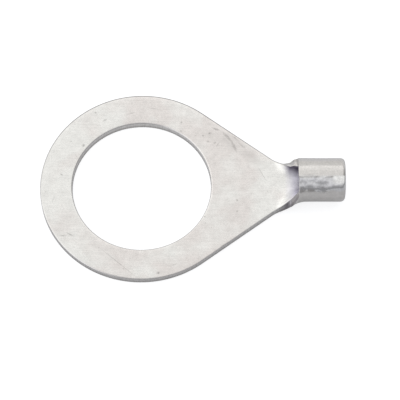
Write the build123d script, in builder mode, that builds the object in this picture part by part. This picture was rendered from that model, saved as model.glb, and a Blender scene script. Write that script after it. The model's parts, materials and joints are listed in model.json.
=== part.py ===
from build123d import *
from math import cos, pi, radians, sin, sqrt, tan
import os

# A bare ring terminal: one blank of copper sheet, a ring tongue for a stud at one end,
# with its other end rolled into a round barrel for a wire. The barrel's butt seam is brazed.
# Millimetres. The origin is the centre of the stud hole on the underside of the tongue.
# +X runs to the barrel's mouth, and +Z is up, off the flat tongue.

# Sheet
sheet = 0.8
edge_rounding = 0.1

# Ring tongue
ring_diameter = 19.2
stud_hole_diameter = 13.1
flank_angle = 36.6

# Neck and ears, as cut on the flat blank
neck_width = 4.6
neck_radius = 2.5
ear_radius = 0.8

# Barrel
barrel_reach = 14.7
barrel_length = 4.4
barrel_diameter = 4.1
mouth_rounding = 0.5
mouth_countersink = 0.12

# Roll, the stretch along X over which the sheet goes from flat to tube
roll_length = 2.6
roll_into_barrel = 0.28

# Brazed seam, a shallow valley along the barrel, off its top towards -Y
seam_angle = 14
seam_width = 0.36
seam_depth = 0.08

# Sections in each loft
neck_steps = 6
ear_steps = 4
flare_steps = 3

# Outline of the blank: each flank leaves the ring as a tangent and meets the neck in an arc
ring_radius = ring_diameter / 2
barrel_radius = barrel_diameter / 2
flank = radians(flank_angle)
flank_x = ring_radius * sin(flank)
flank_y = ring_radius * cos(flank)
neck_end = flank_x + (flank_y - neck_width / 2) / tan(flank) + neck_radius * tan(flank / 2)
neck_start = neck_end - neck_radius * sin(flank)
ear_start = barrel_reach - ear_radius

# Stations along X
mouth_reach = barrel_reach + barrel_length
roll_end = barrel_reach + roll_into_barrel
roll_start = roll_end - roll_length
flat_end = min(roll_start, neck_start)


def arc_rise(run, radius):
    """How far an arc has left its tangent after a run along that tangent"""
    return radius - sqrt(radius**2 - run**2)


def half_width(x):
    """Half the blank's width along the flanks and the neck"""
    width = neck_width / 2
    if x < neck_start:
        width = flank_y - (x - flank_x) * tan(flank)
    elif x < neck_end:
        width += arc_rise(neck_end - x, neck_radius)
    return width


def ear_station(turn):
    """Place and half-width of the blank where the ears' arc has turned this far off the neck"""
    x = ear_start + ear_radius * sin(turn)
    return x, half_width(x) + ear_radius * (1 - cos(turn))


def outer_radius(x):
    """Outer radius of the rolled sheet, whose curvature eases in from none"""
    share = (x - roll_start) / roll_length
    return barrel_radius / (share**2 * (3 - 2 * share))


def flat_strip(x, half):
    """Section of the blank where it is still flat, its upper corners rounded"""
    with BuildSketch(Plane.YZ.offset(x)) as section:
        with Locations((0, sheet / 2)):
            Rectangle(2 * half, sheet)
        fillet(section.vertices().group_by(Axis.Y)[-1], edge_rounding)
    return section.sketch


def bent_strip(x, half):
    """Section of the blank where it curls up, bent to an arc that touches Z = 0"""
    outer = outer_radius(x)
    inner = outer - sheet
    bend = half / (outer - sheet / 2)
    with BuildSketch(Plane.YZ.offset(x)) as section:
        with BuildLine():
            under = ThreePointArc(
                (-outer * sin(bend), outer - outer * cos(bend)),
                (0, 0),
                (outer * sin(bend), outer - outer * cos(bend)),
            )
            over = ThreePointArc(
                (-inner * sin(bend), outer - inner * cos(bend)),
                (0, sheet),
                (inner * sin(bend), outer - inner * cos(bend)),
            )
            Line(under @ 0, over @ 0)
            Line(under @ 1, over @ 1)
        make_face()
        upper_corners = [section.vertices().sort_by_distance(over @ end)[0] for end in (0, 1)]
        fillet(upper_corners, edge_rounding)
    return section.sketch


def strip(x, half):
    return bent_strip(x, half) if x > roll_start else flat_strip(x, half)


def tube_ring(x):
    """Section of the closed barrel, a ring of sheet that touches Z = 0"""
    outer = outer_radius(x)
    with BuildSketch(Plane.YZ.offset(x)) as section:
        with Locations((0, outer)):
            Circle(outer)
            Circle(outer - sheet, mode=Mode.SUBTRACT)
    return section.sketch


def spaced(first, last, steps):
    return [first + (last - first) * step / steps for step in range(steps + 1)]


with BuildPart() as ring_terminal:
    # Flat tongue, with the stamped edges rounded on the face that the punch met first
    with BuildSketch():
        with BuildLine():
            ring = ThreePointArc((flank_x, -flank_y), (-ring_radius, 0), (flank_x, flank_y))
            far_side = Line(ring @ 1, (flat_end, half_width(flat_end)))
            near_side = Line(ring @ 0, (flat_end, -half_width(flat_end)))
            Line(far_side @ 1, near_side @ 1)
        make_face()
        Circle(stud_hole_diameter / 2, mode=Mode.SUBTRACT)
    extrude(amount=sheet)
    upper_edges = ring_terminal.faces().sort_by(Axis.Z)[-1].edges()
    fillet(upper_edges.filter_by(lambda edge: edge.center().X < flat_end), edge_rounding)

    # Neck, which narrows and starts to curl, then the ears that spread from it
    loft([strip(x, half_width(x)) for x in spaced(flat_end, ear_start, neck_steps)])
    loft([strip(*ear_station(turn)) for turn in spaced(0, pi / 2, ear_steps)])

    # Barrel, where the ears have met
    loft([tube_ring(x) for x in spaced(barrel_reach, roll_end, flare_steps)])
    extrude(tube_ring(roll_end), amount=mouth_reach - roll_end)
    mouth_edges = ring_terminal.faces().sort_by(Axis.X)[-1].edges().sort_by(SortBy.LENGTH)
    fillet(mouth_edges[-1], mouth_rounding)
    chamfer(mouth_edges[0], mouth_countersink)

    # Brazed seam
    seam_round = (seam_width**2 / 4 + seam_depth**2) / (2 * seam_depth)
    seam_out = barrel_radius - seam_depth + seam_round
    seam = radians(seam_angle)
    with BuildSketch(Plane.YZ.offset(barrel_reach)):
        with Locations((-seam_out * sin(seam), barrel_radius + seam_out * cos(seam))):
            Circle(seam_round)
    extrude(amount=barrel_length, mode=Mode.SUBTRACT)

os.makedirs("parts", exist_ok=True)
ring_terminal.part.label = "ring_terminal"
export_step(ring_terminal.part, "parts/ring_terminal.step")
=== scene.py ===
# %% [markdown]
# # A bare ring terminal in Blender
#
# The object is one stamping of copper sheet: a flat ring tongue for a stud, and a tail that is
# rolled into a barrel for a wire. The barrel's butt seam is brazed, and the whole piece is
# plated with tin. This lesson dresses the construction model, which gives every size and the
# place of everything, and it works in the order in which the real terminal is made: the flat
# blank is cut, its edges are rounded by the punch, the tail is rolled up, the seam is brazed,
# and the tin goes on last.

# %% Frame and units
import json
import math
import bmesh
import bpy
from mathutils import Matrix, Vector, noise


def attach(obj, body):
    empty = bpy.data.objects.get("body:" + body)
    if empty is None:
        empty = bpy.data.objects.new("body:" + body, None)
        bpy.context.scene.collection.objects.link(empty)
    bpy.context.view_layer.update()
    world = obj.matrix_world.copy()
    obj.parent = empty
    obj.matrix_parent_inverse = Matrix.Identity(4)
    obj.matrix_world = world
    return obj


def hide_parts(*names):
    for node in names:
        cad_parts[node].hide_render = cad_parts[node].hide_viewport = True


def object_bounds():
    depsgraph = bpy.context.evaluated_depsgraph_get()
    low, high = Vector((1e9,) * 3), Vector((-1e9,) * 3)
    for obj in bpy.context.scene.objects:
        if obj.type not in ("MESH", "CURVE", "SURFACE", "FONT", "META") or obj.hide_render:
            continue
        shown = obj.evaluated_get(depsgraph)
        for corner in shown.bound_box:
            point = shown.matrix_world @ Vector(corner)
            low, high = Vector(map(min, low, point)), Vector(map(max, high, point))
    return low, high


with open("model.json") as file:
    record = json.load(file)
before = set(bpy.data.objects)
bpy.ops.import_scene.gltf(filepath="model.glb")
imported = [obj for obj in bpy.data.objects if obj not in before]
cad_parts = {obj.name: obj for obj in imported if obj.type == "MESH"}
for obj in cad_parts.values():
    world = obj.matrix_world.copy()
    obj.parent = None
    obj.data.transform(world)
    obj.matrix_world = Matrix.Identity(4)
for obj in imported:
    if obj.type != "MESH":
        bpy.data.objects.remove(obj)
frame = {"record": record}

MM = 0.001
cad_low, cad_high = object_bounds()
mounts = {mount["name"]: mount for mount in frame["record"]["mounts"]}
print("frame:", [round(side / MM, 2) for side in cad_high - cad_low], "mm")


def linear(hex_colour):
    """An sRGB hex colour as the linear colour that Blender's sockets take"""
    channels = [int(hex_colour[i:i + 2], 16) / 255 for i in (1, 3, 5)]
    return [c / 12.92 if c <= 0.04045 else ((c + 0.055) / 1.055) ** 2.4 for c in channels] + [1]


# %% [markdown]
# ## Camera
#
# The terminal lies flat and the photograph looks steeply down on it, across the barrel. Such a
# small thing is photographed from well away with a long lens, which shows in how little of the
# hole's walls can be seen. The camera is placed from the point that it looks at, so that its
# height above the floor and its distance can each be set by itself.

# %% Camera
LOOK_AT = Vector((5.508, -1.138, 0)) * MM
VIEW_ELEVATION = math.radians(65.2)
VIEW_DISTANCE = 200 * MM
LENS = 190.4
SENSOR = 36

camera = bpy.data.objects.new("camera", bpy.data.cameras.new("camera"))
bpy.context.scene.collection.objects.link(camera)
camera.data.lens = LENS
camera.data.sensor_width = SENSOR
camera.data.clip_start = 5 * MM
back = Vector((0, -math.cos(VIEW_ELEVATION), math.sin(VIEW_ELEVATION)))
camera.location = LOOK_AT + back * VIEW_DISTANCE
camera.rotation_euler = (math.pi / 2 - VIEW_ELEVATION, 0, 0)
bpy.context.scene.camera = camera
bpy.context.scene.view_settings.view_transform = "Standard"
print("camera:", [round(c / MM, 1) for c in camera.location], "mm")

# %% [markdown]
# ## The blank, as the die cuts it
#
# Both ends of the terminal come from one outline. The ring runs into two straight flanks, the
# flanks run into a neck, and two ears spread from the neck to make the barrel's skin. Because
# nothing stretches much when the sheet is rolled, the ears' width is the barrel's girth at the
# middle of the sheet.
#
# An outline could be drawn and filled, but a filled face can't bend. So the blank is made of
# rows of four-sided faces that run across the tail, which is the way the sheet will curl.

# %% Sizes of the blank
ring_radius = -cad_low.x / MM
mouth_x = cad_high.x / MM
stud_hole_radius = mounts["stud_hole"]["dims"]["r_mm"]
barrel_radius = mounts["wire_barrel"]["pos_m"][2] / MM
sheet = barrel_radius - mounts["wire_barrel"]["dims"]["r_mm"]

FLANK = math.radians(36.6)
NECK_HALF = 2.3
NECK_RADIUS = 2.5
EAR_RADIUS = 0.8
BARREL_LENGTH = 4.4
ROLL_LENGTH = 2.6
ROLL_INTO_BARREL = 0.2
SEAM_ANGLE = math.radians(14)

flank_x = ring_radius * math.sin(FLANK)
flank_y = ring_radius * math.cos(FLANK)
neck_end = flank_x + (flank_y - NECK_HALF) / math.tan(FLANK) + NECK_RADIUS * math.tan(FLANK / 2)
neck_start = neck_end - NECK_RADIUS * math.sin(FLANK)
barrel_front = mouth_x - BARREL_LENGTH
ear_start = barrel_front - EAR_RADIUS
roll_end = barrel_front + ROLL_INTO_BARREL
roll_start = roll_end - ROLL_LENGTH
mid_radius = barrel_radius - sheet / 2
near_girth = mid_radius * (math.pi - SEAM_ANGLE)
far_girth = mid_radius * (math.pi + SEAM_ANGLE)
print("blank: ears", round(near_girth + far_girth, 2), "mm wide, sheet", round(sheet, 2), "mm")


def half_width(x):
    """Half the blank's width along its flanks and its neck"""
    if x < neck_start:
        return flank_y - (x - flank_x) * math.tan(FLANK)
    run = max(neck_end - x, 0)
    return NECK_HALF + NECK_RADIUS - math.sqrt(NECK_RADIUS ** 2 - run ** 2)


# %% [markdown]
# ### The tail
#
# One grid makes the part that becomes the barrel. Its front row isn't straight: it crosses the
# neck, turns out round an arc at each side and then follows the ears' front edges. Each vertex
# of the grid goes to its place between that row and the straight row at the mouth. The columns
# crowd together towards the ears' long sides, where the seam will need them, and the first and
# last rows are wide enough for the edges to be rounded.
#
# The neck is then drawn out of the middle of the front row by extruding it, row by row. The two
# patches meet halfway round each ear's arc, so that no face there is squeezed to a sliver.

# %% Barrel grid
NECK_COLUMNS = 22
ARC_COLUMNS = 4
NEAR_COLUMNS = 28
FAR_COLUMNS = 34
BARREL_ROWS = 64
CROWDING = 0.6
FRONT_MARGIN = 0.22
MOUTH_ROUNDING = 0.4
MOUTH_MARGIN = 0.06
ARC_SPLIT = math.radians(45)

columns = NECK_COLUMNS + 2 * ARC_COLUMNS + NEAR_COLUMNS + FAR_COLUMNS


def ear_station(turn):
    """Place and half-width of the blank where the ears' arc has turned this far off the neck"""
    x = ear_start + EAR_RADIUS * math.sin(turn)
    return x, half_width(x) + EAR_RADIUS * (1 - math.cos(turn))


def front_row(column):
    """Where a column starts on the barrel's front row, as x and a distance across the blank"""
    across = column - NEAR_COLUMNS - ARC_COLUMNS - NECK_COLUMNS / 2
    side = 1 if across > 0 else -1
    beyond = abs(across) - NECK_COLUMNS / 2
    along_arc = min(max(beyond / ARC_COLUMNS, 0), 1)
    x, out = ear_station(ARC_SPLIT + (math.pi / 2 - ARC_SPLIT) * along_arc)
    if beyond <= 0:
        out *= abs(across) / (NECK_COLUMNS / 2)
    if beyond > ARC_COLUMNS:
        share = (beyond - ARC_COLUMNS) / (FAR_COLUMNS if side > 0 else NEAR_COLUMNS)
        share += CROWDING * math.sin(math.pi * share) / math.pi
        out += share * ((far_girth if side > 0 else near_girth) - out)
    return x, side * out


def along_barrel(row, length):
    """Distance of a row from the barrel's front row, from 0 to the length given"""
    if row == 0 or row == BARREL_ROWS:
        return row / BARREL_ROWS * length
    last = length - MOUTH_ROUNDING - MOUTH_MARGIN
    return FRONT_MARGIN + (last - FRONT_MARGIN) * (row - 1) / (BARREL_ROWS - 2)


blank = bmesh.new()
bmesh.ops.create_grid(blank, x_segments=BARREL_ROWS, y_segments=columns, size=0.5)
for vert in blank.verts:
    column = round((vert.co.y + 0.5) * columns)
    front_x, front_s = front_row(column)
    share = column / columns
    share -= CROWDING * math.sin(2 * math.pi * share) / (2 * math.pi)
    mouth_s = -near_girth + (near_girth + far_girth) * share
    along = along_barrel(round((vert.co.x + 0.5) * BARREL_ROWS), mouth_x - front_x)
    toward_mouth = along / (mouth_x - front_x)
    vert.co = (front_x + along, front_s + toward_mouth * (mouth_s - front_s), 0)
print("barrel grid:", len(blank.faces), "faces")

# %% Neck rows
ARC_ROWS = 6
TAIL_ROWS = 26
TAIL_ROOT = 8.4
# How near a vertex has to be to a place to count as being there
TOLERANCE = 1e-4

stations = [ear_station(ARC_SPLIT * (1 - step / ARC_ROWS)) for step in range(1, ARC_ROWS + 1)]
for step in range(1, TAIL_ROWS + 1):
    x = ear_start + (TAIL_ROOT - ear_start) * step / TAIL_ROWS
    stations.append((x, half_width(x)))

split_x, half = ear_station(ARC_SPLIT)
row = [e for e in blank.edges if all(abs(v.co.x - split_x) < TOLERANCE for v in e.verts)]
for x, wide in stations:
    drawn_rows_and_rim_shade = bmesh.ops.extrude_edge_only(blank, edges=row)["geom"]
    row = [g for g in drawn_rows_and_rim_shade if isinstance(g, bmesh.types.BMEdge)]
    for vert in {v for e in row for v in e.verts}:
        vert.co.x = x
        vert.co.y *= wide / half
    half = wide
print("tail:", len(blank.faces), "faces")

# %% [markdown]
# ### The ring
#
# The last row of the tail is also the first stretch of the ring's outline. One corner of it is
# drawn along its flank, spun round the ring and drawn along the other flank, and the closed
# loop is then extruded inwards to the stud hole. Both the hole and the ring stay true circles,
# because every vertex on them is set by its distance from the hole's centre.

# %% Ring outline and hole
FLANK_STEPS = 9
ARC_STEPS = 110
RING_ROWS = 6
MERGE_WITHIN = 0.001

near_corner = min((v for e in row for v in e.verts), key=lambda vert: vert.co.y)
outline = list(row)


def draw_along(vert, end, steps):
    """Draws a straight chain of edges from a vertex to a place and returns its last vertex"""
    step = (end - vert.co) / steps
    for _ in range(steps):
        new = bmesh.ops.extrude_vert_indiv(blank, verts=[vert])
        outline.extend(new["edges"])
        vert = new["verts"][0]
        bmesh.ops.translate(blank, verts=[vert], vec=step)
    return vert


tangent = draw_along(near_corner, Vector((flank_x, -flank_y, 0)), FLANK_STEPS)
known = set(blank.edges)
bmesh.ops.spin(blank, geom=[tangent], cent=(0, 0, 0), axis=(0, 0, -1),
               angle=math.pi + 2 * FLANK, steps=ARC_STEPS)
arc = [edge for edge in blank.edges if edge not in known]
outline += arc
tangent = max((v for e in arc for v in e.verts), key=lambda vert: (round(vert.co.x, 4), vert.co.y))
draw_along(tangent, Vector((TAIL_ROOT, half_width(TAIL_ROOT), 0)), FLANK_STEPS)

loop = outline
for step in range(RING_ROWS):
    drawn_rows_and_rim_shade = bmesh.ops.extrude_edge_only(blank, edges=loop)["geom"]
    loop = [g for g in drawn_rows_and_rim_shade if isinstance(g, bmesh.types.BMEdge)]
    for vert in {v for e in loop for v in e.verts}:
        gap = vert.co.length - stud_hole_radius
        vert.co *= 1 - gap / (RING_ROWS - step) / vert.co.length
bmesh.ops.remove_doubles(blank, verts=blank.verts, dist=MERGE_WITHIN)
bmesh.ops.recalc_face_normals(blank, faces=blank.faces)
on_outline = sum(edge.is_boundary for edge in blank.edges)
print("blank:", len(blank.faces), "faces,", on_outline, "edges on its outline")

# %% [markdown]
# ### Thickness and stamped edges
#
# A punch drags the surface down with it where it enters the sheet, and leaves a nearly square
# corner where it leaves. The stud hole is pierced from above, so its upper corner has a wide
# bevel and its lower one a narrow one, while the outline is rounded on both faces. The mouth is
# rounded outside, so that it won't cut the wire's insulation, and countersunk inside to let the
# strands in. The long sides of the ears stay open, because they are joined to each other after
# rolling.
#
# The cut sides take a second material, and every vertex keeps its place on the flat blank as an
# attribute. Patterns that belong to the sheet, such as its rolling lines, follow that place
# round the barrel.

# %% Thickness, seam sides and rounded edges
MOUTH_COUNTERSINK = 0.12
# Rim, height of its corner, rounding and segments. The outline's upper rounding stays narrower
# than the neck's columns and the barrel's first row, because its faces would fold otherwise.
ROUNDINGS = [("hole", sheet, 0.2, 5),
             ("outline", sheet, 0.155, 4),
             ("hole", 0, 0.03, 2),
             ("outline", 0, 0.09, 3),
             ("mouth", 0, MOUTH_ROUNDING, 8),
             ("mouth", sheet, MOUTH_COUNTERSINK, 3)]


def is_cut_side(face):
    """Whether a face of the flat blank stands on edge, as the sides do that the die has cut"""
    return abs(face.normal.z) < 0.5


raised = bmesh.ops.extrude_face_region(blank, geom=list(blank.faces))["geom"]
bmesh.ops.translate(blank, verts=[g for g in raised if isinstance(g, bmesh.types.BMVert)],
                    vec=(0, 0, sheet))
bmesh.ops.recalc_face_normals(blank, faces=blank.faces)
seam_sides = [face for face in blank.faces if abs(face.normal.y) > 0.999 and all(
    min(abs(v.co.y + near_girth), abs(v.co.y - far_girth)) < TOLERANCE for v in face.verts)]
bmesh.ops.delete(blank, geom=seam_sides, context="FACES")
for face in blank.faces:
    at_mouth = all(abs(v.co.x - mouth_x) < TOLERANCE for v in face.verts)
    face.material_index = int(is_cut_side(face) and not at_mouth)


def rim_of(edge):
    """Which of the blank's three rims an edge lies on"""
    if all(abs(v.co.x - mouth_x) < TOLERANCE for v in edge.verts):
        return "mouth"
    if all(abs(v.co.xy.length - stud_hole_radius) < TOLERANCE for v in edge.verts):
        return "hole"
    return "outline"


def corner_edges(rim, height):
    """Edges of a rim where the face at this height meets a cut side"""
    found = []
    for edge in blank.edges:
        level = all(abs(v.co.z - height) < TOLERANCE for v in edge.verts)
        cut_sides = [face for face in edge.link_faces if is_cut_side(face)]
        at_corner = len(cut_sides) == 1 and len(edge.link_faces) == 2
        if level and at_corner and rim_of(edge) == rim:
            found.append(edge)
    return found


for rim, height, rounding, segments in ROUNDINGS:
    corners = corner_edges(rim, height)
    bmesh.ops.bevel(blank, geom=corners, offset=rounding, segments=segments, profile=0.5,
                    affect="EDGES", material=-1)
    print(rim, "at", round(height, 2), "mm: rounded", len(corners), "edges by", rounding, "mm")

on_blank = blank.verts.layers.float_vector.new("on_blank")
for vert in blank.verts:
    vert[on_blank] = vert.co * MM

# %% [markdown]
# ## Rolling the tail
#
# The press doesn't bend the tail at one line. Its curvature grows from nothing at the neck to
# the barrel's, and the underside keeps touching the anvil. So each vertex is turned about an
# axis that lies one outer radius above the anvil, by the angle that its distance across the
# blank asks for, and that radius shrinks along the tail. A bend modifier has one radius only,
# and would also stretch the sheet.

# %% Helpers for the roll
ALMOST_FLAT = 1e-6
NOISE_SLICE = 7.3


def smooth_step(low, high, value):
    """Rises from 0 to 1 between two places, and leaves and arrives level"""
    share = min(max((value - low) / (high - low), 0), 1)
    return share * share * (3 - 2 * share)


def band(rise, fall, value):
    """Rises from 0 to 1 between one pair of places and falls back between another"""
    return smooth_step(*rise, value) * (1 - smooth_step(*fall, value))


def outer_radius(x):
    """Outer radius of the rolled sheet, whose curvature eases in along the roll"""
    return barrel_radius / max(smooth_step(roll_start, roll_end, x), ALMOST_FLAT)


def grain(x, across, size):
    """Smooth noise between about -1 and 1, with lumps of this size in millimetres"""
    return noise.noise(Vector((x / size, across / size, NOISE_SLICE)))


print("roll: from", round(roll_start, 2), "to", round(roll_end, 2), "mm along X")

# %% [markdown]
# ### The seam's relief
#
# The roll also presses the seam's relief into the skin, while each vertex still knows how far
# it is from the seam. The joint itself is a narrow wavering valley. The braze has run to the
# near side of it and set in low lumps, and near the mouth it stands up in a flat land that
# handling has rubbed, and whose colour is lifted to near white, partly as a painted highlight.
# Lengthwise noise that only has to wander along the seam is read on a row of its own, far from
# the others.

# %% Seam and braze
# Valley of the joint, and how far its line wanders in long and in short waves
VALLEY_DEPTH = 0.007
VALLEY_WIDTH = 0.12
WAVER_LONG = 0.04
WAVER_SHORT = 0.015
# Braze on the near side of the joint, and how far its edge wanders
BRAZE_WIDTH = 1.5
BRAZE_WANDER = 0.3
LUMP_HEIGHT = 0.046
# Flat land at the mouth, which rises away from the joint and then falls back to the barrel
LAND_HEIGHT = 0.15
LAND_WIDTH = 0.86
LAND_FALL = 0.75
LAND_STARTS = (mouth_x - 1.3, mouth_x - 1)
LAND_RISES = (mouth_x - 1.9, mouth_x - 0.8)
# Slight waves all over the barrel's skin
SKIN_WAVE = 0.012


def seam_waver(x, across):
    """Distance from the joint's own wandering line"""
    return across - WAVER_LONG * grain(x, 1, 0.8) - WAVER_SHORT * grain(x, 2, 0.3)


def braze_cover(x, across):
    """How much braze lies at a place on the barrel, from 0 to 1"""
    edge = BRAZE_WIDTH + BRAZE_WANDER * (grain(x, 3, 0.7) + 0.4 * grain(x, 9, 0.25))
    return band((-0.12, 0.16), (edge - 0.15, edge + 0.1), across)


def land_cover(x, across):
    """How much of a place belongs to the flat land at the seam's mouth end, from 0 to 1"""
    wander = 0.1 * grain(x, 30, 0.4)
    beside_joint = band((-0.02, 0.12), (LAND_WIDTH - 0.25, LAND_WIDTH + 0.15), across)
    return beside_joint * smooth_step(LAND_STARTS[0] + wander, LAND_STARTS[1] + wander, x)


def seam_relief(x, across):
    """Depth of the skin below the true cylinder, with across measured from the seam"""
    land = land_cover(x, across)
    land_end = smooth_step(*LAND_RISES, x)

    valley = (1 + 1.2 * grain(x, 4, 0.6)) * math.exp(-(seam_waver(x, across) / VALLEY_WIDTH) ** 2)
    valley *= VALLEY_DEPTH * (1 - land)

    lumps = grain(x / 1.5, across, 0.5) + 0.5 * grain(x, across + 20, 0.3)
    lumps *= braze_cover(x, across) * (1 - land) * (1 - 0.75 * land_end)

    outward = max(across / LAND_WIDTH, 0)
    rise = (0.35 * outward + 0.65 * outward ** 2) * land_end
    rise *= 1 - smooth_step(LAND_WIDTH - 0.2, LAND_WIDTH + LAND_FALL, across)

    wave = SKIN_WAVE * grain(x / 3, across + 40, 0.5)
    return valley + LUMP_HEIGHT * lumps - LAND_HEIGHT * rise + wave


print("seam: braze about", BRAZE_WIDTH, "mm wide")

# %% [markdown]
# ### Where the two ears differ
#
# A press never closes two ears quite alike. Here the near ear starts to curl a little later, it
# stands a little back from the far one beside the joint, and low on its side it runs on into
# the barrel in a slight flare. The neck has drifted towards it too. The roll also notes which
# vertices lie inside the far ear's curl, and there the tin's colour is darkened as painted
# shade.

# %% Ears
# How far behind the ears' start the sheet begins to take the closed barrel's own angle
CLOSING_START = 0.1
NEAR_DELAY = 0.14
NECK_DRIFT = 0.06
# Near ear beside the joint, how far it stands back and over what distance from the joint
EAR_LAG = 0.05
LAG_RISES = (0, 0.12)
LAG_FALLS = (1.6, 2.5)
# Near ear's flare, its middle and length along X, and where it lies across the blank
NEAR_FLARE = 0.14
NEAR_FLARE_X = 14.56
NEAR_FLARE_LENGTH = 0.47
FLARE_RISES = (0.8, 1.9)
FLARE_FALLS = (2.6, 4.2)
# Share of the flare that the inner face doesn't follow
FLARE_LOST_INSIDE = 0.6
# Painted shade inside the far ear's curl, where it comes in along X and across the blank
CURL_SHADE_ALONG = (13.15, 14.05)
CURL_SHADE_ACROSS = (0.5, 2.2)


def near_flare(x, across):
    """How far the sheet stands out where the near side's flare runs on into the barrel"""
    low_on_side = band(FLARE_RISES, FLARE_FALLS, -across)
    return NEAR_FLARE * low_on_side * math.exp(-((x - NEAR_FLARE_X) / NEAR_FLARE_LENGTH) ** 2)


def ear_lag(x, across):
    """How far the near ear stands back at the barrel's front, with across from the seam"""
    at_front = 1 - smooth_step(barrel_front, barrel_front + 1, x)
    return EAR_LAG * band(LAG_RISES, LAG_FALLS, across) * at_front


def curl_shade_share(x, across, height):
    """How much painted shade darkens the inside of the far ear's curl, from 0 to 1"""
    inside = smooth_step(0.3 * sheet, 0.8 * sheet, height)
    return inside * smooth_step(*CURL_SHADE_ALONG, x) * smooth_step(*CURL_SHADE_ACROSS, across)


print("ears: near one curls", NEAR_DELAY, "mm later and stands back by", EAR_LAG, "mm")

# %% [markdown]
# ### The roll itself
#
# One pass over the vertices turns each one up, adds the relief and the differences between the
# ears, and keeps four amounts for the materials: braze, stain at the joint, rubbing with its
# painted highlight, and the painted shade inside the far ear's curl. The relief fades out
# through the sheet, so that the barrel's inside is plain.

# %% Roll
# Stain, how far it lies to the near side of the joint and how wide it is
STAIN_OFFSET = 0.12
STAIN_WIDTH = 0.15
# Share of the mouth's rounding that the land takes back, so that its end stays square
LAND_SQUARENESS = 0.75
JOIN_WITHIN = 0.002

cover = blank.verts.layers.float.new("braze")
joint = blank.verts.layers.float.new("joint")
rubbed_and_glint = blank.verts.layers.float.new("rubbed_and_glint")
curl_shade = blank.verts.layers.float.new("curl_shade")
for vert in blank.verts:
    x, across, height = vert.co
    if x <= roll_start:
        continue
    closed = smooth_step(ear_start + CLOSING_START, barrel_front, x)
    delay = NEAR_DELAY * smooth_step(0, 2, -across) * (1 - closed)
    radius = outer_radius(x - delay)
    across -= NECK_DRIFT * smooth_step(roll_start, ear_start, x) * (1 - closed)
    turn = across / ((radius - sheet / 2) * (1 - closed) + mid_radius * closed)
    reach = radius - height + near_flare(x, across) * (1 - FLARE_LOST_INSIDE * height / sheet)
    # Share of painted shade inside the far ear's curl
    vert[curl_shade] = curl_shade_share(x, across, height)
    if x > barrel_front - TOLERANCE:
        seam_gap = near_girth + across if across < 0 else across - far_girth
        seam_gap *= barrel_radius / mid_radius
        on_skin = 1 - smooth_step(0, sheet / 2, height)
        vert[cover] = braze_cover(x, seam_gap) * on_skin
        off_stain = (seam_waver(x, seam_gap) - STAIN_OFFSET) / STAIN_WIDTH
        vert[joint] = math.exp(-off_stain ** 2) * on_skin
        vert[rubbed_and_glint] = land_cover(x, seam_gap) * on_skin
        reach += LAND_SQUARENESS * height * vert[rubbed_and_glint] - seam_relief(x, seam_gap) * on_skin
        x += ear_lag(x, seam_gap)
    vert.co = (x, reach * math.sin(turn), max(radius - reach * math.cos(turn), 0))

# Both sides of the joint take the far side's place on the blank, as one of each pair is dropped
at_joint = [vert for vert in blank.verts if vert.is_boundary]
for vert in at_joint:
    vert[on_blank] = Vector((vert[on_blank].x, far_girth * MM, vert[on_blank].z))
bmesh.ops.remove_doubles(blank, verts=at_joint, dist=JOIN_WITHIN)
bmesh.ops.recalc_face_normals(blank, faces=blank.faces)
print("rolled: open edges left", sum(edge.is_boundary for edge in blank.edges))

# %% Finished mesh
bmesh.ops.scale(blank, verts=blank.verts, vec=(MM, MM, MM))
terminal_mesh = bpy.data.meshes.new("terminal")
blank.to_mesh(terminal_mesh)
blank.free()
terminal_mesh.shade_smooth()
terminal = bpy.data.objects.new("terminal", terminal_mesh)
bpy.context.scene.collection.objects.link(terminal)
weighting = terminal.modifiers.new("flat_faces_stay_flat", "WEIGHTED_NORMAL")
weighting.keep_sharp = True
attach(terminal, "root")
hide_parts("ring_terminal")
print("terminal:", len(terminal_mesh.polygons), "faces")

# %% [markdown]
# ## Stage and light
#
# Bright metal shows little of its own and mostly what stands around it, so the light is drawn
# before the metal is. A small shiny thing is photographed in a tent: the roof and the back
# glow evenly, the front is dimmer because the camera looks in there, and the lowest part of
# the front is darkest. One end is open and dimmer too. The world shader holds that tent. It
# turns the direction of a ray into an angle round the barrel's axis, and a curve gives the
# tent's brightness there.
#
# The floor is pale paper. The photograph's background is white, so the paper also shines, but
# only for rays from the camera and, more weakly, for those that the metal reflects. To those it
# is a little brighter behind the terminal than in front of it, as the tent is. It doesn't light
# the object, and it still takes the object's soft shadow. Its back is left clear, so that the
# terminal's underside can be looked at from below.


# %% A helper for nodes
def add_node(tree, kind, inputs=None, **settings):
    """Adds a node with its settings, and sets or links its inputs, by name or by number"""
    node = tree.nodes.new("ShaderNode" + kind)
    for name, value in settings.items():
        setattr(node, name, value)
    for name, value in (inputs or {}).items():
        if isinstance(name, str):
            socket = next(socket for socket in node.inputs if socket.enabled and socket.name == name)
        else:
            socket = node.inputs[name]
        if isinstance(value, bpy.types.Node):
            value = next(output for output in value.outputs if output.enabled)
        if isinstance(value, bpy.types.NodeSocket):
            tree.links.new(value, socket)
        else:
            socket.default_value = value
    return node


# %% Light tent
# Angle from the roof, negative to the back and positive to the front, and brightness there
TENT = [(-90, 0.72), (-61, 0.76), (-53, 1.1), (-42, 1.03), (-26, 0.89), (2, 0.87),
        (9, 0.77), (37, 0.71), (49, 0.51), (62, 0.37), (90, 0.26)]
# Place along the barrel's axis where each end starts and finishes dimming, and brightness there
TENT_ENDS = [(-0.2, -0.75, 1.15), (0.56, 0.95, 0.3)]
TENT_WARM = "#FFFFFE"
TENT_COOL = "#FCFCFF"
COOL_FROM = math.radians(40)
# Brightness that the top of the curve stands for
CURVE_TOP = 2

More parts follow.
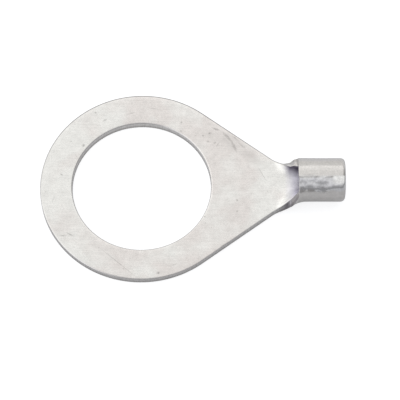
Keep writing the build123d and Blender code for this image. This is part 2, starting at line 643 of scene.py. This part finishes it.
world = bpy.data.worlds.new("light_tent")
bpy.context.scene.world = world
world.use_nodes = True
tree = world.node_tree
tree.nodes.clear()
direction = add_node(tree, "TexCoord").outputs["Generated"]
parts = add_node(tree, "SeparateXYZ", {"Vector": direction})
forward = add_node(tree, "Math", {0: parts.outputs["Y"], 1: -1}, operation="MULTIPLY")
around = add_node(tree, "Math", {0: forward, 1: parts.outputs["Z"]}, operation="ARCTAN2")
place = add_node(tree, "MapRange", {"Value": around, "From Min": -math.pi / 2, "From Max": math.pi / 2})
brightness = add_node(tree, "FloatCurve", {"Value": place})
curve = brightness.mapping.curves[0]
while len(curve.points) < len(TENT):
    curve.points.new(0.5, 0.5)
for point, (angle, level) in zip(curve.points, TENT):
    point.location = ((angle + 90) / 180, level / CURVE_TOP)
    point.handle_type = "VECTOR"
brightness.mapping.update()
tent = add_node(tree, "Math", {0: brightness, 1: CURVE_TOP}, operation="MULTIPLY")
for start, end, level in TENT_ENDS:
    at_end = add_node(tree, "MapRange", {"Value": parts.outputs["X"], "From Min": start,
                                         "From Max": end}, interpolation_type="SMOOTHSTEP")
    tent = add_node(tree, "Mix", {"Factor": at_end, "A": tent, "B": level})
to_front = add_node(tree, "MapRange", {"Value": around, "From Min": 0, "From Max": COOL_FROM})
tint = add_node(tree, "Mix", {"Factor": to_front, "A": linear(TENT_WARM), "B": linear(TENT_COOL)},
                data_type="RGBA")
tinted = add_node(tree, "VectorMath", {0: tint, "Scale": tent}, operation="SCALE")
path = add_node(tree, "LightPath")
seen = add_node(tree, "Mix", {"Factor": path.outputs["Is Camera Ray"], "A": tinted, "B": [1, 1, 1, 1]},
                data_type="RGBA")
light = add_node(tree, "Background", {"Color": seen, "Strength": 1})
add_node(tree, "OutputWorld", {"Surface": light})
print("tent:", len(TENT), "places from back to front")

# %% Paper floor
FLOOR_HALF = 250
FLOOR_GAP = 0.02
PAPER = "#B3B4B7"
PAPER_SHINE = 0.76
# Share of that shine in the metal's reflections, and the two places along Y where it holds
SHINE_IN_FRONT = 0.2
SHINE_BEHIND = 0.42
IN_FRONT_Y = -3
BEHIND_Y = 12

paper = bpy.data.materials.new("matt_paper")
paper.use_nodes = True
tree = paper.node_tree
tree.nodes.clear()
path = add_node(tree, "LightPath")
mirrored = add_node(tree, "Math", {0: path.outputs["Is Glossy Ray"],
                                   1: path.outputs["Is Transmission Ray"]}, operation="MAXIMUM")
across_floor = add_node(tree, "SeparateXYZ", {"Vector": add_node(tree, "TexCoord").outputs["Object"]})
in_metal = add_node(tree, "MapRange", {"Value": across_floor.outputs["Y"],
                                       "From Min": IN_FRONT_Y * MM, "From Max": BEHIND_Y * MM,
                                       "To Min": SHINE_IN_FRONT, "To Max": SHINE_BEHIND})
shown = add_node(tree, "Math", {0: mirrored, 1: in_metal, 2: path.outputs["Is Camera Ray"]},
                 operation="MULTIPLY_ADD")
shine = add_node(tree, "Math", {0: shown, 1: PAPER_SHINE}, operation="MULTIPLY")
matt = add_node(tree, "BsdfDiffuse", {"Color": linear(PAPER)})
glow = add_node(tree, "Emission", {"Color": [1, 1, 1, 1], "Strength": shine})
front = add_node(tree, "AddShader", {0: matt, 1: glow})
backfacing = add_node(tree, "NewGeometry").outputs["Backfacing"]
sides = add_node(tree, "MixShader", {0: backfacing, 1: front, 2: add_node(tree, "BsdfTransparent")})
add_node(tree, "OutputMaterial", {"Surface": sides})

sheet_of_paper = bmesh.new()
bmesh.ops.create_grid(sheet_of_paper, x_segments=1, y_segments=1, size=FLOOR_HALF * MM)
floor_height = cad_low.z - FLOOR_GAP * MM
bmesh.ops.translate(sheet_of_paper, verts=sheet_of_paper.verts, vec=(0, 0, floor_height))
floor_mesh = bpy.data.meshes.new("floor")
sheet_of_paper.to_mesh(floor_mesh)
sheet_of_paper.free()
floor_mesh.materials.append(paper)
floor = bpy.data.objects.new("floor", floor_mesh)
bpy.context.scene.collection.objects.link(floor)
print("floor:", 2 * FLOOR_HALF, "mm wide at", round(floor_height / MM, 3), "mm")

# %% [markdown]
# ## Electroplated tin
#
# Tin from a plating bath is a soft satin white, duller than chromium and warmer than zinc. It
# is a metal, so all its colour is in its reflection. Close up it isn't even: the deposit lies in
# faint patches. Its colour is also painted a little brighter towards the ring's far end, as
# painted light, and at the neck, as a painted highlight where the bend begins. On the barrel the
# braze's heat has left it duller.

# %% Tin: colour over the blank
TIN_BRIGHT = "#F5F4F1"
TIN_DULL = "#ECE7E4"
TIN_ON_BARREL = "#E2DFDC"
PATCH_SIZE = 2.6
# Places along the blank where each change starts and where it is complete
FAR_END_LIGHT = (-1, -7)
NECK_SHEEN = (9.5, 12)
HEATED = (14, 14.9)

tin = bpy.data.materials.new("electroplated_tin")
tin.use_nodes = True
tree = tin.node_tree
tree.nodes.clear()
on_sheet = add_node(tree, "Attribute", attribute_name="on_blank").outputs["Vector"]
place = add_node(tree, "SeparateXYZ", {"Vector": on_sheet})
along_blank = place.outputs["X"]
patches = add_node(tree, "TexNoise", {"Vector": on_sheet, "Scale": 1 / (PATCH_SIZE * MM)})
# Painted light: the colour grows brighter towards the ring's far end.
far_end_light = add_node(tree, "MapRange", {"Value": along_blank, "From Min": FAR_END_LIGHT[0] * MM,
                                      "From Max": FAR_END_LIGHT[1] * MM, "To Min": -0.12, "To Max": 0.14})
# Painted highlight: the colour grows brighter towards the neck.
burnish_and_neck_sheen = add_node(tree, "MapRange", {"Value": along_blank, "From Min": NECK_SHEEN[0] * MM,
                                        "From Max": NECK_SHEEN[1] * MM, "To Min": 0, "To Max": 0.34})
patches_and_painted_light = add_node(tree, "Math", {0: patches, 1: far_end_light}, operation="ADD")
patches_and_painted_light = add_node(tree, "Math", {0: patches_and_painted_light, 1: burnish_and_neck_sheen}, operation="ADD")
brightness = add_node(tree, "MapRange", {"Value": patches_and_painted_light, "From Min": 0.36, "From Max": 0.62})
colour = add_node(tree, "Mix", {"Factor": brightness, "A": linear(TIN_DULL), "B": linear(TIN_BRIGHT)},
                  data_type="RGBA")
heated = add_node(tree, "MapRange", {"Value": along_blank, "From Min": HEATED[0] * MM,
                                     "From Max": HEATED[1] * MM})
colour = add_node(tree, "Mix", {"Factor": heated, "A": colour, "B": linear(TIN_ON_BARREL)},
                  data_type="RGBA")
print("tin: patches of", PATCH_SIZE, "mm")

# %% [markdown]
# ### Painted shade along the rim
#
# A fine darker line is painted round the terminal's outline, just below the top face, as
# painted shade. It sets the terminal off from a white ground, and it is stronger on the far side
# than on the near one.

# %% Tin: painted rim shade
RIM_SHADE = "#8A8785"
RIM_RADIUS = 8
# Depths below the top face, and places across the blank, where the darkening starts and is full
RIM_SHADE_DEPTH = (0.001, 0.012)
RIM_SHADE_ACROSS = (-3, 8)

drawn_rows_and_rim_shade = add_node(tree, "MapRange", {"Value": place.outputs["Z"],
                                    "From Min": (sheet - RIM_SHADE_DEPTH[0]) * MM,
                                    "From Max": (sheet - RIM_SHADE_DEPTH[1]) * MM})
above = add_node(tree, "Math", {0: place.outputs["Z"], 1: sheet / 2 * MM}, operation="GREATER_THAN")
drawn_rows_and_rim_shade = add_node(tree, "Math", {0: drawn_rows_and_rim_shade, 1: above}, operation="MULTIPLY")
from_axis = add_node(tree, "VectorMath", {0: on_sheet}, operation="LENGTH")
at_rim = add_node(tree, "Math", {0: from_axis, 1: RIM_RADIUS * MM}, operation="GREATER_THAN")
drawn_rows_and_rim_shade = add_node(tree, "Math", {0: drawn_rows_and_rim_shade, 1: at_rim}, operation="MULTIPLY")
rim_shade_behind = add_node(tree, "MapRange", {"Value": place.outputs["Y"], "From Min": RIM_SHADE_ACROSS[0] * MM,
                                     "From Max": RIM_SHADE_ACROSS[1] * MM, "To Min": 0.12})
drawn_rows_and_rim_shade = add_node(tree, "Math", {0: drawn_rows_and_rim_shade, 1: rim_shade_behind}, operation="MULTIPLY")
before_barrel = add_node(tree, "Math", {0: 1, 1: heated}, operation="SUBTRACT")
drawn_rows_and_rim_shade = add_node(tree, "Math", {0: drawn_rows_and_rim_shade, 1: before_barrel}, operation="MULTIPLY")
# Painted shade: the colour darkens to grey along the outline's top rounding, more behind.
colour = add_node(tree, "Mix", {"Factor": drawn_rows_and_rim_shade, "A": colour, "B": linear(RIM_SHADE)},
                  data_type="RGBA")
print("tin: drawn rim outside", RIM_RADIUS, "mm")

# %% [markdown]
# ### Grain, rolling lines and blotches
#
# Noise at 0.16 mm stands for the deposit's grain. The true grain is finer than a pixel of the
# photograph, so it is drawn as coarse as it needs to show. The same noise, stretched along the
# sheet, draws the rolling lines of the copper underneath, and soft blotches half a millimetre
# wide are where the terminals have rubbed together in their bag.

# %% Tin: grain
GRAIN_SIZE = 0.16
LINE_WIDTH = 0.11
LINE_LENGTH = 2.4
LINE_SHARE = 0.36
BLOTCH_SIZE = 0.5
BLOTCH_SHARE = 0.35

grains = add_node(tree, "TexNoise", {"Vector": on_sheet, "Scale": 1 / (GRAIN_SIZE * MM), "Detail": 3})
drawn_out = add_node(tree, "Mapping", {"Vector": on_sheet, "Scale": (1 / LINE_LENGTH, 1 / LINE_WIDTH,
                                                                     1 / LINE_WIDTH)})
rolling_lines = add_node(tree, "TexNoise", {"Vector": drawn_out, "Scale": 1 / MM})
blotches = add_node(tree, "TexNoise", {"Vector": on_sheet, "Scale": 1 / (BLOTCH_SIZE * MM)})
texture = add_node(tree, "Mix", {"Factor": LINE_SHARE, "A": grains, "B": rolling_lines})
texture = add_node(tree, "Mix", {"Factor": BLOTCH_SHARE, "A": texture, "B": blotches})
print("tin: grain of", GRAIN_SIZE, "mm, blotches of", BLOTCH_SIZE, "mm")

# %% [markdown]
# ### Pits and handling marks
#
# Pits come from the cells of a Voronoi texture, of which only a few are kept. The larger marks,
# which a reader of the photograph would look for, are laid by hand. Each one is a thin ellipse
# with its own place, turn and size on the top face, its edge frayed by noise, and speckled,
# because a scratch on a grainy deposit skips from grain to grain.

# %% Tin: pits and marks
PIT_SPACING = 0.75
PIT_RADIUS = 0.1
PIT_DARKNESS = 0.3
# Places along the blank between which the pits die out
PITS_END = (13, 12)
FRAY_SIZE = 0.25
FRAY = 0.16
MARK_DEPTH = 0.2
# Place along and across, length, width (mm), turn (degrees) and darkness, negative if bright
# The last mark, a bright one across the neck where the bend begins, is a painted highlight.
MARKS = [(-5.59, 4.22, 0.32, 0.24, 40, 0.5), (6.45, 5.5, 0.28, 0.24, 0, 0.4),
         (-7.35, -5.2, 0.7, 0.1, 8, 0.5), (-6.65, -5.03, 0.75, 0.12, -28, 0.45),
         (-2.1, -7.9, 4.4, 0.1, -41, 0.28), (1.63, -8.95, 0.3, 0.22, 0, 0.5),
         (-7.58, 1.13, 0.34, 0.16, -35, 0.45), (-3.6, 6.9, 0.45, 0.2, 30, 0.35),
         (-1.2, 7.6, 0.9, 0.1, 20, 0.3), (8.1, 5.15, 1.3, 0.26, -50, 0.36),
         (8.75, 4.1, 1.3, 0.26, -67, 0.32), (10.4, 3.2, 1.5, 0.7, -40, 0.14),
         (7.02, 5.94, 0.8, 0.16, -20, 0.4), (8.9, 4.95, 0.9, 0.18, -42, 0.3),
         (5.79, 5.26, 0.24, 0.2, 0, 0.3), (6.26, 4.64, 0.26, 0.22, 0, 0.35),
         (6.93, 4.5, 0.3, 0.2, 30, 0.35), (9.5, 4.2, 1.1, 0.2, -45, 0.22),
         (7.2, 4.3, 0.5, 0.16, 60, 0.3), (11.4, 1.2, 1.7, 0.09, -62, 0.3),
         (0.9, 8.2, 1.2, 0.09, -8, 0.25), (7.7, -6.1, 0.9, 0.1, 35, 0.25),
         (3.1, -8.1, 0.6, 0.14, 15, 0.3), (-8.3, -1.4, 0.8, 0.1, 75, 0.25),
         (8.7, 4.2, 2.9, 1.5, -38, 0.09), (7.0, 5.2, 2.2, 1.3, -20, 0.07),
         (10.9, 2.4, 2.4, 0.9, -30, 0.07), (12.45, -0.3, 0.6, 0.14, 88, -0.14)]

cells = add_node(tree, "TexVoronoi", {"Vector": on_sheet, "Scale": 1 / (PIT_SPACING * MM)})
chosen = add_node(tree, "SeparateColor", {"Color": cells.outputs["Color"]}).outputs["Red"]
pit_size = add_node(tree, "MapRange", {"Value": chosen, "From Min": 0.45, "From Max": 1, "To Min": 0,
                                       "To Max": PIT_RADIUS / PIT_SPACING})
pit_depth = add_node(tree, "Math", {0: pit_size, 1: cells.outputs["Distance"]}, operation="SUBTRACT")
pits = add_node(tree, "MapRange", {"Value": pit_depth, "From Min": -0.02, "From Max": 0.05, "To Min": 0,
                                   "To Max": PIT_DARKNESS})
on_flat = add_node(tree, "MapRange", {"Value": along_blank, "From Min": PITS_END[0] * MM,
                                      "From Max": PITS_END[1] * MM})
pits = add_node(tree, "Math", {0: pits, 1: on_flat}, operation="MULTIPLY")

fray = add_node(tree, "TexNoise", {"Vector": on_sheet, "Scale": 1 / (FRAY_SIZE * MM)}).outputs["Color"]
fray = add_node(tree, "VectorMath", {0: fray, 1: (0.5, 0.5, 0.5)}, operation="SUBTRACT")
frayed = add_node(tree, "VectorMath", {0: fray, 1: (FRAY * MM, FRAY * MM, 0), 2: on_sheet},
                  operation="MULTIPLY_ADD")
marks = 0
for x, y, length, width, turn, darkness in MARKS:
    inside = add_node(tree, "Mapping", {"Vector": frayed, "Location": (x * MM, y * MM, sheet * MM),
                                        "Rotation": (0, 0, math.radians(turn)),
                                        "Scale": (length / 2 * MM, width / 2 * MM, MARK_DEPTH * MM)},
                      vector_type="TEXTURE")
    away = add_node(tree, "VectorMath", {0: inside}, operation="LENGTH")
    mark = add_node(tree, "MapRange", {"Value": away, "From Min": 1.3, "From Max": 0.4, "To Min": 0,
                                       "To Max": darkness})
    marks = add_node(tree, "Math", {0: marks, 1: mark}, operation="ADD")
speckle = add_node(tree, "MapRange", {"Value": grains, "From Min": 0.35, "From Max": 0.6, "To Min": 0.3,
                                      "To Max": 1})
marks = add_node(tree, "Math", {0: marks, 1: speckle}, operation="MULTIPLY")
damage_and_glint = add_node(tree, "Math", {0: pits, 1: marks}, operation="ADD")
print("tin:", len(MARKS), "marks laid by hand")

# %% [markdown]
# ### What brazing leaves
#
# Four attributes were painted on the vertices while the tail was rolled, and here they get their
# finish. Flux has burnt into stretches of the joint, most of all along its near side. The braze
# beside it is whiter than the tin around it, but cloudy. The inside of the far ear's curl is
# darkened to a violet grey, as painted shade. The land at the mouth has been rubbed, and its
# near-white colour is partly a painted highlight. Flux that ran down inside the throat has
# etched the tin there: it is rougher, and faintly violet, so it spreads the light of the tent
# and mirrors no dark shape of the far ear.

# %% Tin: seam and braze
FLUX = "#6F6862"
BRAZE = "#ECECED"
# Painted shade for the inside of the far ear's curl and the near ear's cut side
EAR_SHADE = "#5D5965"
# Rubbed tin, lifted to near white partly as a painted highlight
TIN_RUBBED_GLINT = "#FBFBFA"
TIN_ETCHED = "#F3F1FB"
FLUX_STRETCH = 0.8
CLOUD_SIZE = 0.34
# Places along the blank between which the etching inside the throat comes in
THROAT = (13.5, 14.4)

joint_line = add_node(tree, "Attribute", attribute_name="joint").outputs["Fac"]
brazed = add_node(tree, "Attribute", attribute_name="braze").outputs["Fac"]
curl_shading = add_node(tree, "Attribute", attribute_name="curl_shade").outputs["Fac"]
rubbed_and_glint_share = add_node(tree, "Attribute", attribute_name="rubbed_and_glint").outputs["Fac"]
stretches = add_node(tree, "TexNoise", {"Vector": on_sheet, "Scale": 1 / (FLUX_STRETCH * MM)})
burnt = add_node(tree, "Math", {0: joint_line, 1: stretches}, operation="MULTIPLY")
burnt = add_node(tree, "MapRange", {"Value": burnt, "From Min": 0.25, "From Max": 0.65, "To Max": 0.6})
clouds = add_node(tree, "TexNoise", {"Vector": on_sheet, "Scale": 1 / (CLOUD_SIZE * MM), "Detail": 3})
cloudy = add_node(tree, "MapRange", {"Value": clouds, "From Min": 0.35, "From Max": 0.65, "To Min": 0.88,
                                     "To Max": 1.04})
cloudy = add_node(tree, "Mix", {"Factor": brazed, "A": 1.0, "B": cloudy})
etched = add_node(tree, "MapRange", {"Value": along_blank, "From Min": THROAT[0] * MM,
                                     "From Max": THROAT[1] * MM})
etched = add_node(tree, "Math", {0: etched, 1: above}, operation="MULTIPLY")
finishes = ((etched, TIN_ETCHED), (brazed, BRAZE), (burnt, FLUX), (curl_shading, EAR_SHADE),
            (rubbed_and_glint_share, TIN_RUBBED_GLINT))
for share, finish in finishes:
    colour = add_node(tree, "Mix", {"Factor": share, "A": colour, "B": linear(finish)},
                      data_type="RGBA")
print("tin:", len(finishes), "finishes over the plain one")

# %% Tin: surface
# Roughness where the grain is smoothest and roughest, and what damage and etching add to it
GLOSSY = 0.14
SATIN = 0.24
DAMAGED = 0.3
ETCHED = 0.26
RELIEF = 0.02

tone = add_node(tree, "MapRange", {"Value": texture, "From Min": 0.3, "From Max": 0.7, "To Min": 0.84,
                                   "To Max": 1.1})
tone = add_node(tree, "Math", {0: tone, 1: cloudy}, operation="MULTIPLY")
undamaged_and_glint = add_node(tree, "Math", {0: 1, 1: damage_and_glint}, operation="SUBTRACT")
tone = add_node(tree, "Math", {0: tone, 1: undamaged_and_glint}, operation="MULTIPLY")
colour = add_node(tree, "VectorMath", {0: colour, "Scale": tone}, operation="SCALE")
gloss = add_node(tree, "MapRange", {"Value": texture, "From Min": 0.3, "From Max": 0.7, "To Min": SATIN,
                                    "To Max": GLOSSY})
gloss = add_node(tree, "Math", {0: damage_and_glint, 1: DAMAGED, 2: gloss}, operation="MULTIPLY_ADD")
gloss = add_node(tree, "Math", {0: etched, 1: ETCHED, 2: gloss}, operation="MULTIPLY_ADD")
height = add_node(tree, "Math", {0: damage_and_glint, 1: -2, 2: texture}, operation="MULTIPLY_ADD")
bump = add_node(tree, "Bump", {"Height": height, "Strength": 0.3, "Distance": RELIEF * MM})
surface = add_node(tree, "BsdfPrincipled", {"Base Color": colour, "Metallic": 1, "Roughness": gloss,
                                            "Normal": bump})
add_node(tree, "OutputMaterial", {"Surface": surface})
terminal_mesh.materials.append(tin)
print("tin:", len(tree.nodes), "nodes")

# %% [markdown]
# ### Sheared edge
#
# A sheared side has two bands. The punch burnishes the upper one, with fine lines across the
# sheet, and the lower one is where the metal tore, so it is rougher and darker. The tin over
# it is thin. On the near ear the cut side is darkened towards a violet grey, as painted shade.
# The band is found from the attribute that keeps each vertex's height in the sheet.

# %% Sheared edge
EDGE_BURNISHED = "#E6E4E2"
EDGE_TORN = "#D2CFCC"
NEAR_EAR_SHADE = 0.66
SHEAR_LINE = 0.09
TORN_SHARE = 0.4
TORN_WANDER = 0.3
TEAR_SIZE = 0.35
SHEAR_RELIEF = 0.02
# Places along the blank where the painted shade on the near ear's cut side starts and is full
ON_EAR = (12.6, 13.6)

sheared = bpy.data.materials.new("sheared_edge")
sheared.use_nodes = True
tree = sheared.node_tree
tree.nodes.clear()
on_sheet = add_node(tree, "Attribute", attribute_name="on_blank").outputs["Vector"]
place = add_node(tree, "SeparateXYZ", {"Vector": on_sheet})
tears = add_node(tree, "TexNoise", {"Vector": on_sheet, "Scale": 1 / (TEAR_SIZE * MM)})
ragged = add_node(tree, "Math", {0: tears, 1: TORN_WANDER * sheet * MM, 2: place.outputs["Z"]},
                  operation="MULTIPLY_ADD")
burnish_and_neck_sheen = add_node(tree, "MapRange", {"Value": ragged, "From Min": (TORN_SHARE + 0.1) * sheet * MM,
                                        "From Max": (TORN_SHARE + 0.25) * sheet * MM})
upright = add_node(tree, "Mapping", {"Vector": on_sheet, "Scale": (1, 1, 0.08)})
shear_lines = add_node(tree, "TexNoise", {"Vector": upright, "Scale": 1 / (SHEAR_LINE * MM)})
colour = add_node(tree, "Mix", {"Factor": burnish_and_neck_sheen, "A": linear(EDGE_TORN),
                                "B": linear(EDGE_BURNISHED)}, data_type="RGBA")
on_ear = add_node(tree, "MapRange", {"Value": place.outputs["X"], "From Min": ON_EAR[0] * MM,
                                     "From Max": ON_EAR[1] * MM, "To Max": NEAR_EAR_SHADE})
on_near_side = add_node(tree, "Math", {0: place.outputs["Y"], 1: 0}, operation="LESS_THAN")
near_ear_shading = add_node(tree, "Math", {0: on_ear, 1: on_near_side}, operation="MULTIPLY")
# Painted shade on the near ear's cut side
colour = add_node(tree, "Mix", {"Factor": near_ear_shading, "A": colour, "B": linear(EAR_SHADE)},
                  data_type="RGBA")
tone = add_node(tree, "MapRange", {"Value": shear_lines, "From Min": 0.3, "From Max": 0.7,
                                   "To Min": 0.85, "To Max": 1.05})
colour = add_node(tree, "VectorMath", {0: colour, "Scale": tone}, operation="SCALE")
gloss = add_node(tree, "MapRange", {"Value": burnish_and_neck_sheen, "To Min": 0.42, "To Max": 0.28})
bump = add_node(tree, "Bump", {"Height": shear_lines, "Strength": 0.4,
                               "Distance": SHEAR_RELIEF * MM})
surface = add_node(tree, "BsdfPrincipled", {"Base Color": colour, "Metallic": 1, "Roughness": gloss,
                                            "Normal": bump})
add_node(tree, "OutputMaterial", {"Surface": surface})
terminal_mesh.materials.append(sheared)
print("edge:", len(tree.nodes), "nodes")
